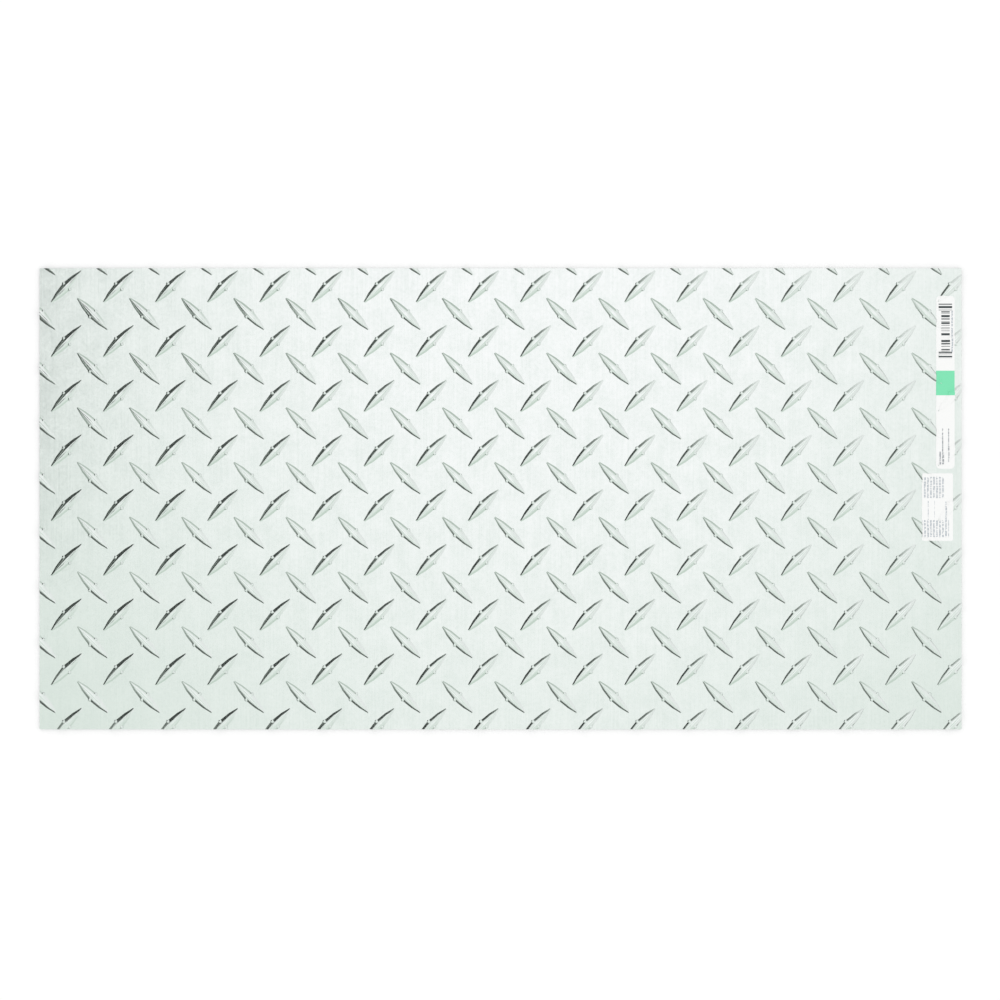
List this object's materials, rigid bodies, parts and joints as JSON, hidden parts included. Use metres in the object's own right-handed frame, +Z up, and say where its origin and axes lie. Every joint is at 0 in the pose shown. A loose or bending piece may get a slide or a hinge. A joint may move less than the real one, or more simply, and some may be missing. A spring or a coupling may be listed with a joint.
{
  "type": "aluminum tread plate",
  "caption": "Flat rectangular sheet of rolled aluminium tread plate with rows of raised diamond lugs leaning alternately left and right, and two paper labels near one end.",
  "frame": {"origin": "centre of the flat underside of the sheet", "axes": "+X along the sheet's long side, towards the end with the labels; +Y along its short side; +Z up through the sheet, lugs on top"},
  "size_m": [0.6096, 0.3048, 0.003],
  "materials": {
    "plate": "bright rolled mill finish, slightly mottled",
    "label": "matte white label paper"
  },
  "bodies": {
    "root": {"tread_plate": "plate", "long_label": "label", "small_label": "label"}
  },
  "joints": []
}
